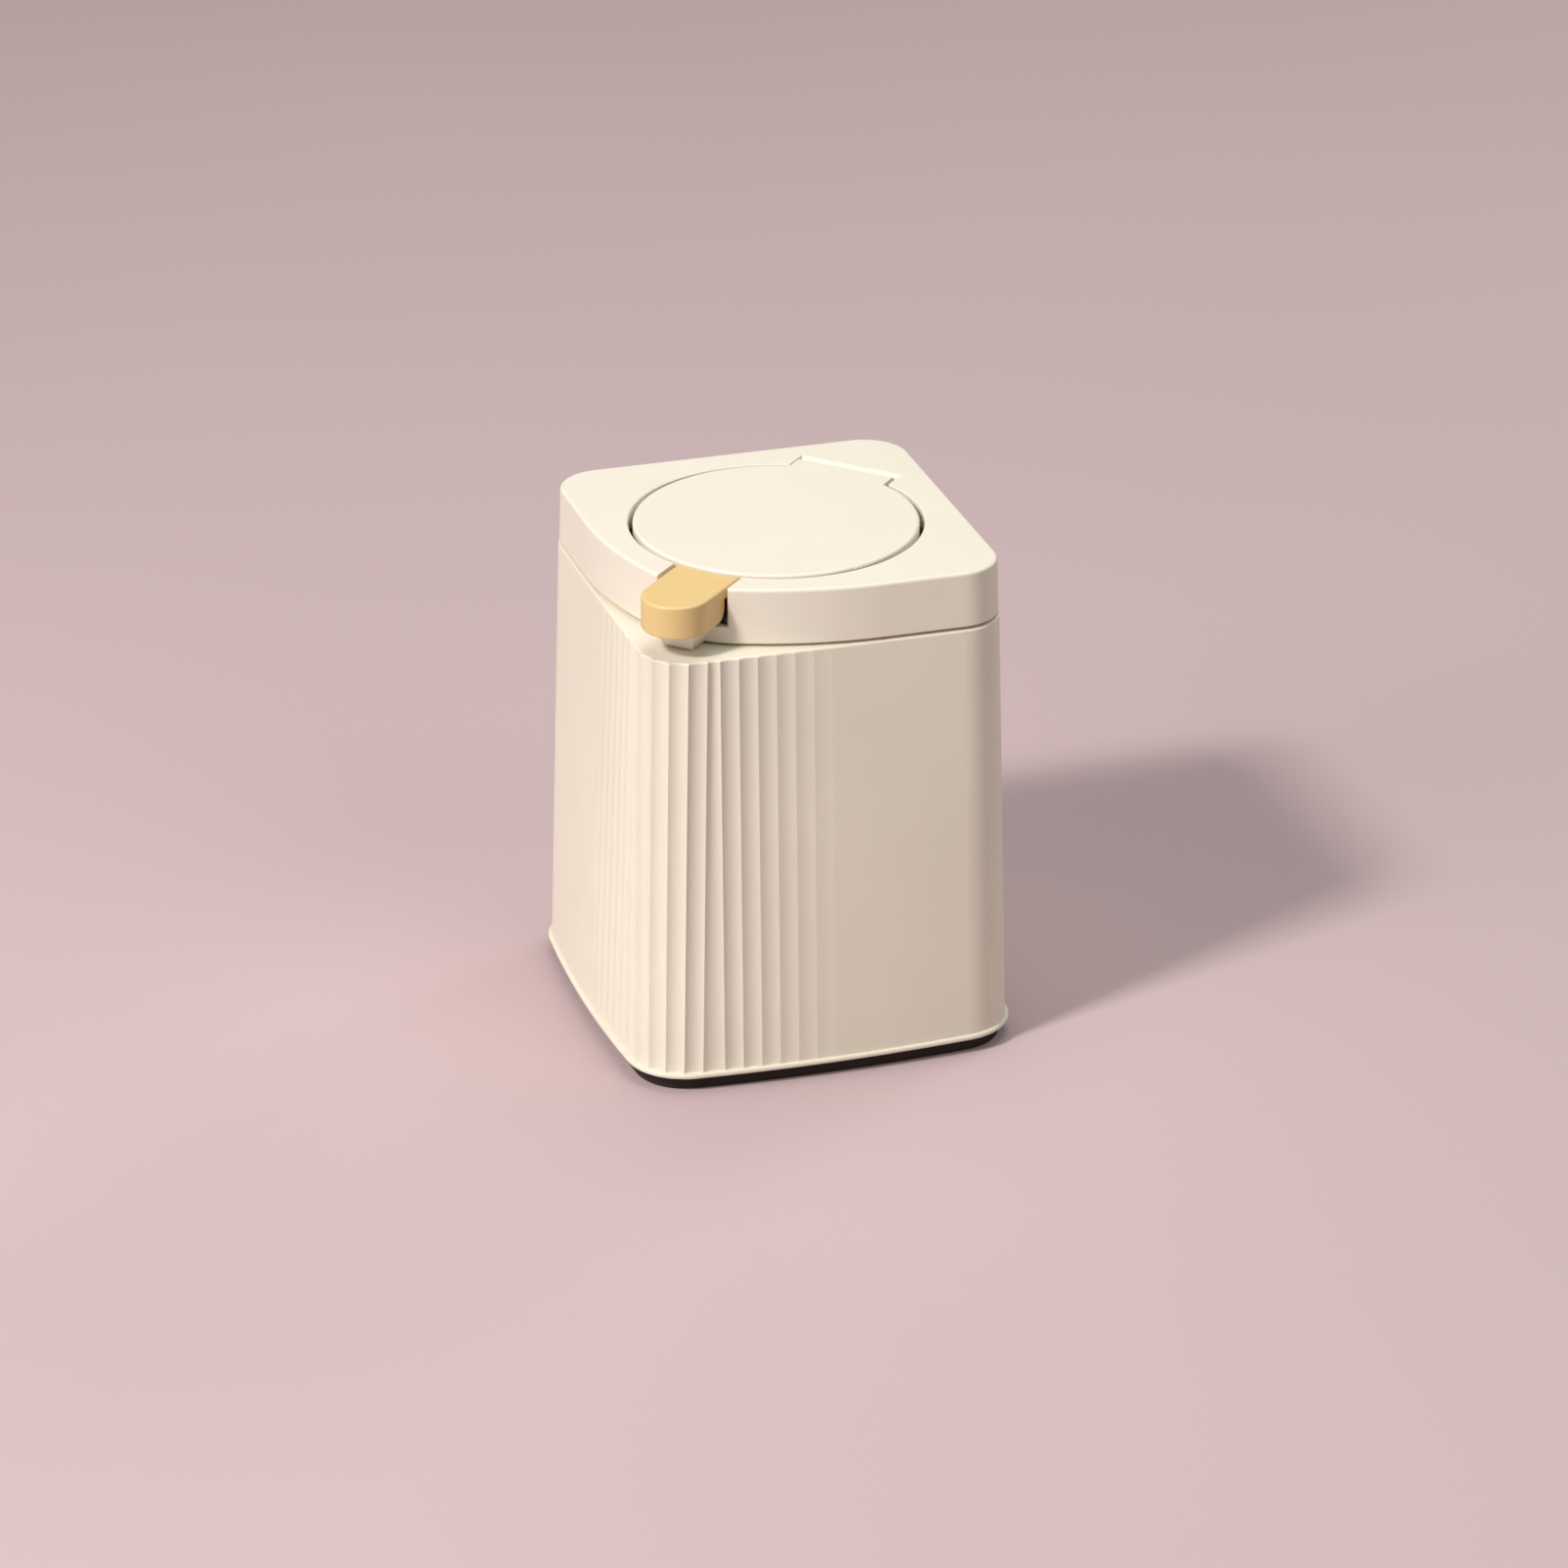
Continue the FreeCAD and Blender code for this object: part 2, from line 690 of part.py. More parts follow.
def make_foot_pads():
    """Four rubber pads, each with a rounded lower edge."""
    for (x, y), side in zip(pad_places(), ("front", "left", "right", "back")):
        body = doc.addObject("PartDesign::Body", "foot_pad_" + side)
        disc = pad(body, "0", "pad_seat + pad_recess", [], [("pad_radius", "0", "0")])
        body_fillet(body, disc, "pad_rounding", level_edge("0"))
        place(body, x, y, "0")
        node(body, "foot_pad_" + side, diagonal=False)


def beak_outline(reach, front_half, root_half):
    """Spring perch under the button: flat front, slightly hollow sides that run into the lid's wall."""
    front = -at(reach)
    half = at(front_half)
    root = -at("beak_root")
    wide = at(root_half)
    back = root + at("lid_wall")
    scoop = at("beak_scoop")
    across = (wide - half, root - front)
    length = math.hypot(*across)
    bend = ((half + wide) / 2 - across[1] / length * scoop, (front + root) / 2 + across[0] / length * scoop)
    right = ((half, front), bend, (wide, root))
    left = tuple((-x, y) for x, y in reversed(right))
    sides = [((wide, root), (wide, back)), ((wide, back), (-wide, back)), ((-wide, back), (-wide, root))]
    return [((-half, front), (half, front)), right] + sides + [left]


def notch_outline():
    """Slot of the button, with round corners where its sides run out through the nose of the lid."""
    half = at("notch_half")
    back = -at("notch_back")
    front = -at("beak_front + button_half")
    nose = at("lid_nose_arc")
    rounding = at("notch_rounding")
    middle = nose_middle(at("lid_half_low")) * math.sqrt(2)
    reach = half + rounding
    depth = math.sqrt((nose - rounding) ** 2 - reach ** 2)
    bend = arc((reach, middle - depth), rounding, 180, 270 + math.degrees(math.atan2(reach, depth)))
    left_bend = tuple((-x, y) for x, y in reversed(bend))
    corners = [bend[-1], (bend[-1][0], front), (-bend[-1][0], front), left_bend[0]]
    inner = [left_bend[-1], (-half, back), (half, back), bend[0]]
    mouth = list(zip(corners, corners[1:]))
    return [bend] + mouth + [left_bend] + list(zip(inner, inner[1:]))


def screw_places():
    """Three corners of the lid that hold a screw, as expressions."""
    return [("boss_offset", "0"), ("-boss_offset", "0"), ("0", "boss_offset")]


def make_lid_cover():
    """Outer lid moulding with the flap hole, the hinge recess, the button notch and the beak."""
    low_half = at("lid_half_low")
    top_half = at("lid_half_top")
    wall = at("lid_wall")
    block_of_lid = loft(lid_outline(low_half), lid_outline(top_half), (LID_LOW, LID_TOP), "lid_block")
    skin = rounded(block_of_lid, "lid_rounding", level_edge(LID_TOP))
    skin = rounded(skin, "lid_low_rounding", level_edge(LID_LOW))
    hollow_z = (f"{LID_LOW} - overrun", LID_CEILING)
    hollow = loft(lid_outline(low_half, wall), lid_outline(top_half, wall), hollow_z, "lid_hollow")
    ceiling = f"{LID_CEILING} + lid_top_wall / 2"
    rim = post("flap_hole_radius + hole_rim_wall", 0, 0, (f"{LID_TOP} - hole_rim_depth", ceiling))
    hinge_z = (f"{LID_TOP} - recess_depth - recess_wall", ceiling)
    hinge_block = block(("-ear_half", "ear_half"), ("ear_front", "recess_back + recess_wall"), hinge_z)
    well_low = f"{PLATE_TOP} + seam_gap"
    notch_solid = block(("-cheek_half", "cheek_half"), ("-beak_front", "-notch_back"), (well_low, ceiling))
    notch_block = doc.addObject("Part::MultiCommon", "notch_block")
    notch_block.Shapes = [block_of_lid, notch_solid]
    beak_foot = beak_outline("beak_front", "beak_half", "beak_root_half")
    head_halves = ("beak_half + beak_flare", "beak_root_half + beak_root_flare")
    beak_head = beak_outline("beak_front + beak_lean", *head_halves)
    beak = loft(beak_foot, beak_head, (f"{BODY_TOP} + beak_gap", SHELF), "beak")
    bosses = [post("boss_radius", x, y, (PLATE_TOP, ceiling)) for x, y in screw_places()]
    outside = [cut(skin, [hollow]), cut(beak, [hollow])]
    walls = fuse(outside + [rim, hinge_block, notch_block] + bosses, "lid_walls")

    above = f"{LID_TOP} + overrun"
    hole = post("flap_hole_radius", 0, 0, (f"{LID_TOP} - hole_rim_depth - overrun", above))
    bevel = doc.addObject("Part::Cone", "hole_bevel")
    bind(bevel, Radius1="flap_hole_radius", Radius2="flap_hole_radius + hole_bevel", Height="hole_bevel")
    place(bevel, 0, 0, f"{LID_TOP} - hole_bevel")
    recess_z = (f"{LID_TOP} - recess_depth", above)
    recess = block(("-recess_half", "recess_half"), ("tab_root", "recess_back - recess_bevel"), recess_z)
    foot = (at("recess_back - recess_bevel"), at(f"{LID_TOP} - recess_bevel"))
    crest = (at("recess_back + overrun"), at(above))
    recess_slope = profile([foot, crest, (foot[0], crest[1])], "recess_half", "recess_slope")
    across = ("-notch_half", "notch_half")
    slot = prism(notch_outline(), (SHELF, above), "notch")
    well_front = "-rocker_offset - lever_boss_radius - lever_clearance"
    well = block(across, (well_front, "-notch_back"), (f"{well_low} - overrun", f"{SHELF} + overrun"))
    hinge_span = ("-ear_half - overrun", "ear_half + overrun")
    hinge_bore = axle("hinge_pin_radius + seat_clearance", hinge_span, "hinge_offset", HINGE_Z)
    rocker_span = ("-cheek_half - overrun", "cheek_half + overrun")
    rocker_bore = axle("rocker_pin_radius + seat_clearance", rocker_span, "-rocker_offset", ROCKER_Z)
    pilot_z = (f"{PLATE_TOP} - overrun", f"{BODY_TOP} + lid_screw_length + overrun")
    pilots = [post("lid_screw_radius + thread_clearance", x, y, pilot_z) for x, y in screw_places()]
    tools = [hole, bevel, recess, recess_slope, slot, well, hinge_bore, rocker_bore] + pilots
    peg = post("peg_radius", 0, "-button_spring_offset", (f"{SHELF} - overrun", f"{SHELF} + peg_height"))
    lid = doc.addObject("Part::Fuse", "lid_cover")
    lid.Base = cut(walls, tools)
    lid.Tool = peg
    node(lid, "lid_cover")


def make_lid_frame():
    """Underside of the lid: a plate that rests on the deck, the chute collar and the plug skirt."""
    half = at("lid_half_low")
    plate = prism(lid_outline(half, at("lid_wall + plate_clearance")), (BODY_TOP, PLATE_TOP), "frame_plate")
    outer = at("mouth_inset + skirt_clearance")
    inner = at("mouth_inset + skirt_clearance + skirt_wall")
    skirt_low = f"{BODY_TOP} - skirt_depth"
    skirt = prism(lid_outline(half, outer), (skirt_low, f"{BODY_TOP} + plate_thickness / 2"), "skirt")
    inside = prism(lid_outline(half, inner), (f"{skirt_low} - overrun", BODY_TOP), "skirt_inside")
    collar = post("throat_radius + throat_wall", 0, 0, (BODY_TOP, THROAT_TOP))
    bore = post("throat_radius", 0, 0, (f"{BODY_TOP} - overrun", f"{THROAT_TOP} + overrun"))
    hole_z = (f"{BODY_TOP} - overrun", f"{PLATE_TOP} + overrun")
    holes = [post("lid_screw_radius + screw_clearance", x, y, hole_z) for x, y in screw_places()]
    solid = fuse([plate, cut(skirt, [inside]), collar], "frame_solid")
    node(cut(solid, [bore] + holes, "lid_frame"), "lid_frame")


def screw(radius, length, head, x, y, seat):
    """Screw driven upwards: its head with a cross recess below the seat, its shank above."""
    shank = post(radius, x, y, (seat, f"{seat} + {length}"))
    crown = f"{seat} - screw_head_height"
    cap = post(head, x, y, (crown, seat))
    long = f"{head} * {DRIVE_SHARE}"
    short = "drive_width / 2"
    slots = []
    for half_x, half_y in ((long, short), (short, long)):
        span_x = (f"{x} - {half_x}", f"{x} + {half_x}")
        span_y = (f"{y} - {half_y}", f"{y} + {half_y}")
        slots.append(block(span_x, span_y, (f"{crown} - overrun", f"{crown} + drive_depth")))
    return cut(fuse([shank, cap]), slots, "screw")


def make_screws(label, kind, places, seat):
    """Alike screws in one node; their kind is a radius, a length and the radius of the head."""
    screws = [screw(*kind, x, y, seat) for x, y in places]
    if len(screws) == 1:
        return node(screws[0], label)
    group = doc.addObject("Part::Compound", label)
    group.Links = screws
    return node(group, label)


def panel_places():
    """Four screws of the flap's inner panel, as expressions."""
    return [(f"{x} * panel_screw_offset", f"{y} * panel_screw_offset") for x in (-1, 1) for y in (-1, 1)]


def make_flap_cover():
    """Round flap: skin and rim, hinge tab with two knuckles, and the catch that the lever's tooth holds."""
    disc = post("flap_radius", 0, 0, (FLAP_LOW, FLAP_TOP), "flap_disc")
    disc = rounded(disc, "flap_rounding", level_edge(FLAP_TOP))
    inside = post("flap_radius - flap_rim", 0, 0, (f"{FLAP_LOW} - overrun", SKIN_LOW))
    tab_z = (f"{FLAP_TOP} - tab_thickness", FLAP_TOP)
    tab = block(("-tab_half", "tab_half"), ("tab_root", "tab_back"), tab_z, "hinge_tab")
    back = at("tab_back")
    top = at(FLAP_TOP)

    def back_edge(edge):
        box = edge.BoundBox
        return min(box.YMin - back, box.ZMin - top) > -at("seat_clearance")

    tab = rounded(tab, "tab_rounding", back_edge)
    spans = [("knuckle_inner", "knuckle_outer"), ("-knuckle_outer", "-knuckle_inner")]
    knuckles = [axle("knuckle_radius", span, "hinge_offset", HINGE_Z) for span in spans]
    bosses = [post("panel_boss_radius", x, y, (PANEL_TOP, f"{SKIN_LOW} + flap_skin / 2"))
              for x, y in panel_places()]
    stem_out = -at("catch_stem")
    stem_in = -at("catch_stem - flap_rim")
    tip = -at("catch_tip")
    low = at(CATCH_LOW)
    shoulder = at(CATCH_TOP)
    slope = low + at("catch_tooth") * LATCH_SLOPE_SHARE
    root = at(f"{FLAP_LOW} + panel_thickness")
    catch = profile([(stem_in, root), (stem_out, root), (stem_out, shoulder), (tip, shoulder), (tip, slope),
                     (stem_out, low), (stem_in, low)], "catch_half", "catch")
    solid = fuse([cut(disc, [inside]), tab, catch] + knuckles + bosses, "flap_solid")
    bore_span = ("-tab_half - overrun", "tab_half + overrun")
    bore = axle("hinge_pin_radius + pin_clearance", bore_span, "hinge_offset", HINGE_Z)
    room = "flap_spring_radius + flap_spring_wire / 2 + flap_spring_relief"
    gap = ("-knuckle_inner", "knuckle_inner")
    coil_room = axle(room, gap, "hinge_offset", HINGE_Z)
    leg_room = block(gap, ("tab_root", "tab_back"), (f"{FLAP_LOW} - overrun", f"{FLAP_TOP} - tab_thickness"))
    pilots = [post("small_screw_radius + thread_clearance", x, y,
                   (f"{PANEL_TOP} - overrun", f"{FLAP_TOP} - flap_skin / 2")) for x, y in panel_places()]
    node(cut(solid, [bore, coil_room, leg_room] + pilots, "flap_cover"), "flap_cover")


def make_flap_inner_panel():
    """Disc inside the flap's rim, with a gap for the spring's legs."""
    disc = post("flap_radius - flap_rim - panel_clearance", 0, 0, (FLAP_LOW, PANEL_TOP))
    hole_z = (f"{FLAP_LOW} - overrun", f"{PANEL_TOP} + overrun")
    holes = [post("small_screw_radius + screw_clearance", x, y, hole_z) for x, y in panel_places()]
    gap = block(("-knuckle_inner", "knuckle_inner"), ("throat_radius + throat_wall", "tab_back"), hole_z)
    node(cut(disc, holes + [gap], "flap_inner_panel"), "flap_inner_panel")


def make_flap_seal():
    """Soft ring under the panel, just above the chute collar."""
    middle = "throat_radius + throat_wall / 2"
    seal_z = (f"{FLAP_LOW} - seal_height", FLAP_LOW)
    ring = tube(f"{middle} + seal_width / 2", f"{middle} - seal_width / 2", seal_z, "flap_seal")
    node(ring, "flap_seal")


def button_outline(half, back):
    """Thumb button seen from above: round front, straight sides, hollow back beside the flap."""
    centre = (0.0, -at("button_straight"))
    side = -math.sqrt(back ** 2 - half ** 2)
    left = ((-half, side), (-half, centre[1]))
    right = ((half, centre[1]), (half, side))
    return [left, arc(centre, half, 180, 360), right, ((half, side), (0.0, -back), (-half, side))]


def make_button_cap():
    """Hollow thumb button, open below and towards the flap, its sides rounded off at the back."""
    outline = button_outline(at("button_half"), at("button_back_radius"))
    solid = prism(outline, (CAP_LOW, CAP_TOP), "cap_solid")
    solid = rounded(solid, "button_rounding", level_edge(CAP_TOP))
    solid = rounded(solid, "button_low_rounding", level_edge(CAP_LOW))
    inside = button_outline(at("button_half - button_wall"), at("throat_radius"))
    hollow = prism(inside, (f"{CAP_LOW} - overrun", CAP_CEILING), "cap_hollow")
    centre = ("0", "-lever_screw_offset")
    boss = post("lever_screw_boss", *centre, (LEVER_LOW, f"{CAP_CEILING} + button_skin / 2"))
    pilot_z = (f"{LEVER_LOW} - overrun", f"{CAP_CEILING} + lever_screw_depth")
    pilot = post("small_screw_radius + thread_clearance", *centre, pilot_z)
    across = ("-button_half - overrun", "button_half + overrun")
    below = f"{CAP_LOW} - overrun"
    opening = block(across, ("-side_back", "-notch_back"), (below, LEVER_LOW))
    bend = ("-side_back - side_rounding", f"{CAP_LOW} + side_rounding")
    corner = block(across, (bend[0], "-side_back"), (below, bend[1]))
    corner = cut(corner, [axle("side_rounding", across, *bend)])
    shell = fuse([cut(solid, [hollow, opening, corner]), boss])
    node(cut(shell, [pilot], "button_cap"), "button_cap")


def make_button_lever():
    """Rocker inside the cap: plate, two arms on the pin and the tooth that holds the flap's catch."""
    plate_z = (LEVER_LOW, CAP_CEILING)
    plate = block(("-lever_half", "lever_half"), ("-lever_neck", "-lever_back"), plate_z)
    nose = ("-lever_front", "-lever_neck + overrun")
    front = block(("-lever_front_half", "lever_front_half"), nose, plate_z)
    right_arm = ("lever_half - lever_arm_width", "lever_half")
    left_arm = ("-lever_half", "lever_arm_width - lever_half")
    spans = (right_arm, left_arm)
    sides = ("-rocker_offset - lever_boss_radius", "-rocker_offset + lever_boss_radius")
    arms = [block(span, sides, (ROCKER_Z, f"{LEVER_LOW} + lever_plate / 2")) for span in spans]
    eyes = [axle("lever_boss_radius", span, "-rocker_offset", ROCKER_Z) for span in spans]
    under = at(f"{CATCH_TOP} + tooth_gap")
    tip = -at("catch_tip - tooth_hold")
    web = tip - at("tooth_run")
    top = at(CAP_CEILING)
    tooth = profile([(web - at("tooth_web"), top), (web - at("tooth_web"), under), (tip, under),
                     (tip, under + at("tooth_lip")), (web, under + at("tooth_height")), (web, top)],
                    "catch_half", "tooth")
    solid = fuse([plate, front, tooth] + arms + eyes, "lever_solid")
    bore_span = ("-button_half", "button_half")
    bore = axle("rocker_pin_radius + pin_clearance", bore_span, "-rocker_offset", ROCKER_Z)
    hole = post("lever_screw_boss + screw_clearance", 0, "-lever_screw_offset",
                (f"{LEVER_LOW} - overrun", f"{CAP_CEILING} + overrun"))
    node(cut(solid, [bore, hole], "button_lever"), "button_lever")


def make_pin(label, radius, half, y, z):
    """Steel pin across the diagonal, with bevelled ends."""
    rod = axle(radius, (f"-({half})", half), y, z)
    doc.recompute()
    pin = doc.addObject("Part::Chamfer", label)
    pin.Base = rod
    amount = at("pin_bevel")
    pin.Edges = [(k, amount, amount) for k, edge in enumerate(rod.Shape.Edges, start=1) if edge.isClosed()]
    node(pin, label)


def tube_along(edges, wire_radius):
    """Round wire along a path of lines and arcs."""
    path = Part.Wire(edges)
    start = edges[0].tangentAt(edges[0].FirstParameter)
    ring = Part.Wire(Part.makeCircle(wire_radius, edges[0].valueAt(edges[0].FirstParameter), start))
    return path.makePipeShell([ring], True, False)


def helix_edges(point, turns):
    """Arcs of about a quarter turn through points of a helix given as a function of turns."""
    count = math.ceil(turns * 4)
    step = turns / count
    stops = [(k * step, (k + 1 / 2) * step, (k + 1) * step) for k in range(count)]
    return [Part.Arc(*(point(turn) for turn in stop)).toShape() for stop in stops]


def report_gap(label, pitch, wire_size):
    """Print the least gap between neighbouring turns of a coil."""
    print(f"{label}: least gap between turns {pitch - wire_size:.2f} mm")


def make_button_spring():
    """Compression spring that stands on the beak round its peg and lifts the lever."""
    radius = at("button_spring_radius")
    wire_size = at("button_spring_wire")
    turns = BUTTON_SPRING_TURNS
    low = at(f"{SHELF} + button_spring_wire / 2 + seat_clearance")
    high = at(f"{LEVER_LOW} - button_spring_wire / 2 - seat_clearance")
    pitch = (high - low) / turns
    centre = -at("button_spring_offset")

    def point(turn):
        across, along = on_circle((0.0, centre), radius, 360 * turn)
        return Vector(across, along, low + pitch * turn)

    item = doc.addObject("Part::Feature", "button_spring")
    item.Shape = tube_along(helix_edges(point, turns), wire_size / 2)
    report_gap("button_spring", pitch, wire_size)
    return node(item, "button_spring")


def make_flap_spring():
    """Torsion spring on the hinge pin: one leg under the hinge tab, one down to the floor of the recess."""
    radius = at("flap_spring_radius")
    wire_size = at("flap_spring_wire")
    pitch = at("flap_spring_pitch")
    half = at("flap_spring_half")
    centre = (at("hinge_offset"), at(HINGE_Z))
    leg = at("flap_spring_leg")
    # The upper leg leaves the coil at the slope that brings its end up to the underside of the tab.
    rise = at("hinge_drop - tab_thickness - flap_spring_wire / 2 - seat_clearance")
    slope = math.atan2(radius, leg) + math.asin(rise / math.hypot(radius, leg))
    turns = round(2 * half / pitch) + (270 + math.degrees(slope)) / 360
    pitch = 2 * half / turns

    def point(turn):
        along, up = on_circle(centre, radius, 180 - 360 * turn)
        return Vector(pitch * turn - half, along, up)

    floor = at(f"{LID_TOP} - recess_depth + flap_spring_wire / 2 + seat_clearance")
    first = point(0)
    last = point(turns)
    tip = last + Vector(0, -leg * math.cos(slope), leg * math.sin(slope))
    lower_leg = Part.LineSegment(Vector(first.x, first.y, floor), first).toShape()
    upper_leg = Part.LineSegment(last, tip).toShape()
    item = doc.addObject("Part::Feature", "flap_spring")
    item.Shape = tube_along([lower_leg] + helix_edges(point, turns) + [upper_leg], wire_size / 2)
    report_gap("flap_spring", pitch, wire_size)
    return node(item, "flap_spring")


make_body_shell()
make_base_plate()
make_plinth_ring()
make_foot_pads()
make_lid_cover()
make_lid_frame()
make_screws("lid_screws", LID_SCREW, screw_places(), BODY_TOP)
make_flap_cover()
make_flap_inner_panel()
make_screws("flap_screws", FLAP_SCREW, panel_places(), FLAP_LOW)
make_flap_seal()
make_button_cap()
make_button_lever()
make_screws("lever_screw", LEVER_SCREW, [("0", "-lever_screw_offset")], LEVER_LOW)
make_pin("hinge_pin", "hinge_pin_radius", "ear_half - screw_end_gap", "hinge_offset", HINGE_Z)
make_pin("button_pin", "rocker_pin_radius", "cheek_half - screw_end_gap", "-rocker_offset", ROCKER_Z)
make_button_spring()
make_flap_spring()
doc.recompute()

faults = [item.Name for item in doc.Objects if {"Invalid", "Error"} & set(item.State)]
for item in doc.Objects:
    if item.TypeId == "PartDesign::Pocket" and item.Shape.Volume >= item.BaseFeature.Shape.Volume:
        faults.append(item.Name + " cuts nothing")
for item in NODES:
    if item.Shape.isNull() or not item.Shape.isValid() or not item.Shape.Solids:
        faults.append(item.Label)
if faults:
    raise RuntimeError("pieces that failed: " + ", ".join(faults))
os.makedirs("parts", exist_ok=True)
for item in NODES:
    item.Shape.exportStep(f"parts/{item.Label}.step")
    print(item.Label, len(item.Shape.Solids), round(item.Shape.Volume, 2))
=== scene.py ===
import json
import math

import bpy
from mathutils import Matrix, Vector


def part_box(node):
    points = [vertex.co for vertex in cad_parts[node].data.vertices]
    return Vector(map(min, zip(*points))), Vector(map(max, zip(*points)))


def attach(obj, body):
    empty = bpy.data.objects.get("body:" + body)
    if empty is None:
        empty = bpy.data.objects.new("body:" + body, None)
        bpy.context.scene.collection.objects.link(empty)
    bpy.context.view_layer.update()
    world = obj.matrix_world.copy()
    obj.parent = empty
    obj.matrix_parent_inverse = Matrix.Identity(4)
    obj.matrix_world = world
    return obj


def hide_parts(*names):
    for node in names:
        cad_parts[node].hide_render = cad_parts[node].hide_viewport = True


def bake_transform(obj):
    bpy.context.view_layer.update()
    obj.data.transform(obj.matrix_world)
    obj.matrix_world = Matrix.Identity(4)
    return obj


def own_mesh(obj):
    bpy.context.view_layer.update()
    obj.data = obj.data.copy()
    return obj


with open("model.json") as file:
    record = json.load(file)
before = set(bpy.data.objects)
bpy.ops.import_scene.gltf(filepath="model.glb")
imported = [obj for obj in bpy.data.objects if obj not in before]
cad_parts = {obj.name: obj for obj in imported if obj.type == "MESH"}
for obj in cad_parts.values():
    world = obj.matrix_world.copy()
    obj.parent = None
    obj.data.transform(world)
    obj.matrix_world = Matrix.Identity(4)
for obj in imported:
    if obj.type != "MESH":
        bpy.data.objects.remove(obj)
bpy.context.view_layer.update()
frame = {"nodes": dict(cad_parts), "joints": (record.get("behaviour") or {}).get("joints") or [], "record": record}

# Lengths are in metres, in the frame of the CAD model: +Z up, the button at the (-X, -Y) corner.
MM = 0.001
NODES = frame["nodes"]
JOINTS = {joint["name"]: joint for joint in frame["joints"]}

# Camera: where the photograph was taken from
CAMERA_EYE = (-0.56628, -1.81049, 0.95087)
CAMERA_AZIMUTH = math.radians(-17.4451)
CAMERA_ELEVATION = math.radians(24.8731)
CAMERA_ROLL = math.radians(0.0928)
CAMERA_LENS_MM = 153.27
SENSOR_MM = 36.0

# Springs of round wire
SPRING_WIRE = 0.5 * MM
WIRE_SIDES = 12
TURN_STEPS = 28
LEG_STEPS = 6
BUTTON_SPRING_TURNS = 6
CLOSED_PITCH_SHARE = 1.12
FLAP_SPRING_RADIUS = 1.5 * MM
FLAP_SPRING_HALF = 4.8 * MM
FLAP_SPRING_TURNS = 8
FLAP_LEG = 3.4 * MM
LEG_RISE = 0.12 * MM
FLAP_LEG_DROP = 5.12 * MM

# Colours, linear
CREAM = (0.875, 0.808, 0.680)
LID_CREAM = (0.880, 0.808, 0.695)
INNER_CREAM = (0.800, 0.735, 0.625)
YELLOW = (0.830, 0.590, 0.262)
# Lever: near-black brown, painted shade for the shadow in the notch gap beside the button
LEVER_PAINTED_SHADE = (0.085, 0.048, 0.022)
# Plinth ring: near-black brown, painted shade for the contact shadow on the floor under the lip
PLINTH_PAINTED_SHADE = (0.030, 0.019, 0.016)
DARK_RUBBER = (0.028, 0.026, 0.025)
PALE_RUBBER = (0.560, 0.530, 0.480)
STEEL = (0.560, 0.570, 0.580)
ZINC = (0.500, 0.500, 0.490)
FLOOR_PINK = (0.592, 0.454, 0.470)

# Noise: the values that it mostly lies between
NOISE_LOW = 0.3
NOISE_HIGH = 0.7

# Moulded plastic: slow drift of tone, patches of sheen and shallow waves
TONE_PATCH = 45 * MM
TONE_RANGE = (0.985, 1.015)
SHEEN_PATCH = 18 * MM
SHEEN_SWING = 0.04
WAVE_LENGTH = 14 * MM
WAVE_DEPTH = 0.05 * MM

# Plastics: colour, roughness, size and depth of the mould's grain, and gloss
PLASTICS = {
    "body_cream": (CREAM, 0.46, 0.35 * MM, 0.012 * MM, 0.5),
    "lid_cream": (LID_CREAM, 0.48, 0.30 * MM, 0.008 * MM, 0.5),
    "inner_cream": (INNER_CREAM, 0.55, 0.40 * MM, 0.015 * MM, 0.5),
    "button_yellow": (YELLOW, 0.42, 0.30 * MM, 0.012 * MM, 0.5),
    # dark_lever: near-black lever colour, painted shade for the shadow in the notch gap
    "dark_lever": (LEVER_PAINTED_SHADE, 0.38, 0.30 * MM, 0.008 * MM, 0.5),
    # plinth_dark: near-black ring colour, painted shade for the contact shadow under the lip
    "plinth_dark": (PLINTH_PAINTED_SHADE, 0.60, 0.40 * MM, 0.015 * MM, 0.25),
}

# Rubber: dusty bloom, patches of sheen and a fine tooth
BLOOM_PATCH = 2.5 * MM
BLOOM_RANGE = (0.85, 1.25)
RUBBER_PATCH = 4 * MM
RUBBER_ROUGHNESS = (0.62, 0.85)
TOOTH_SIZE = 0.25 * MM
TOOTH_DEPTH = 0.03 * MM
RUBBER_GLOSS = 0.35
RUBBERS = {"foot_rubber": DARK_RUBBER, "seal_rubber": PALE_RUBBER}

# Steel: grain of the drawn or plated surface
STEEL_GRAIN = 0.2 * MM
STEEL_GRAIN_DEPTH = 0.01 * MM
STEEL_TONE = (0.85, 1.12)
STEEL_ROUGHNESS_SWING = (-0.07, 0.1)

# Metals: colour, roughness, and how much the grain is squeezed along each axis
METALS = {
    "steel": (STEEL, 0.28, (0.2, 0.2, 1.0)),
    "screw_steel": (ZINC, 0.36, (1.0, 1.0, 1.0)),
}

# Floor
FLOOR_HALF = 12.0
FLOOR_PATCH = 0.6
FLOOR_TONE = (0.98, 1.02)
FLOOR_ROUGHNESS = 0.8
FLOOR_GLOSS = 0.2

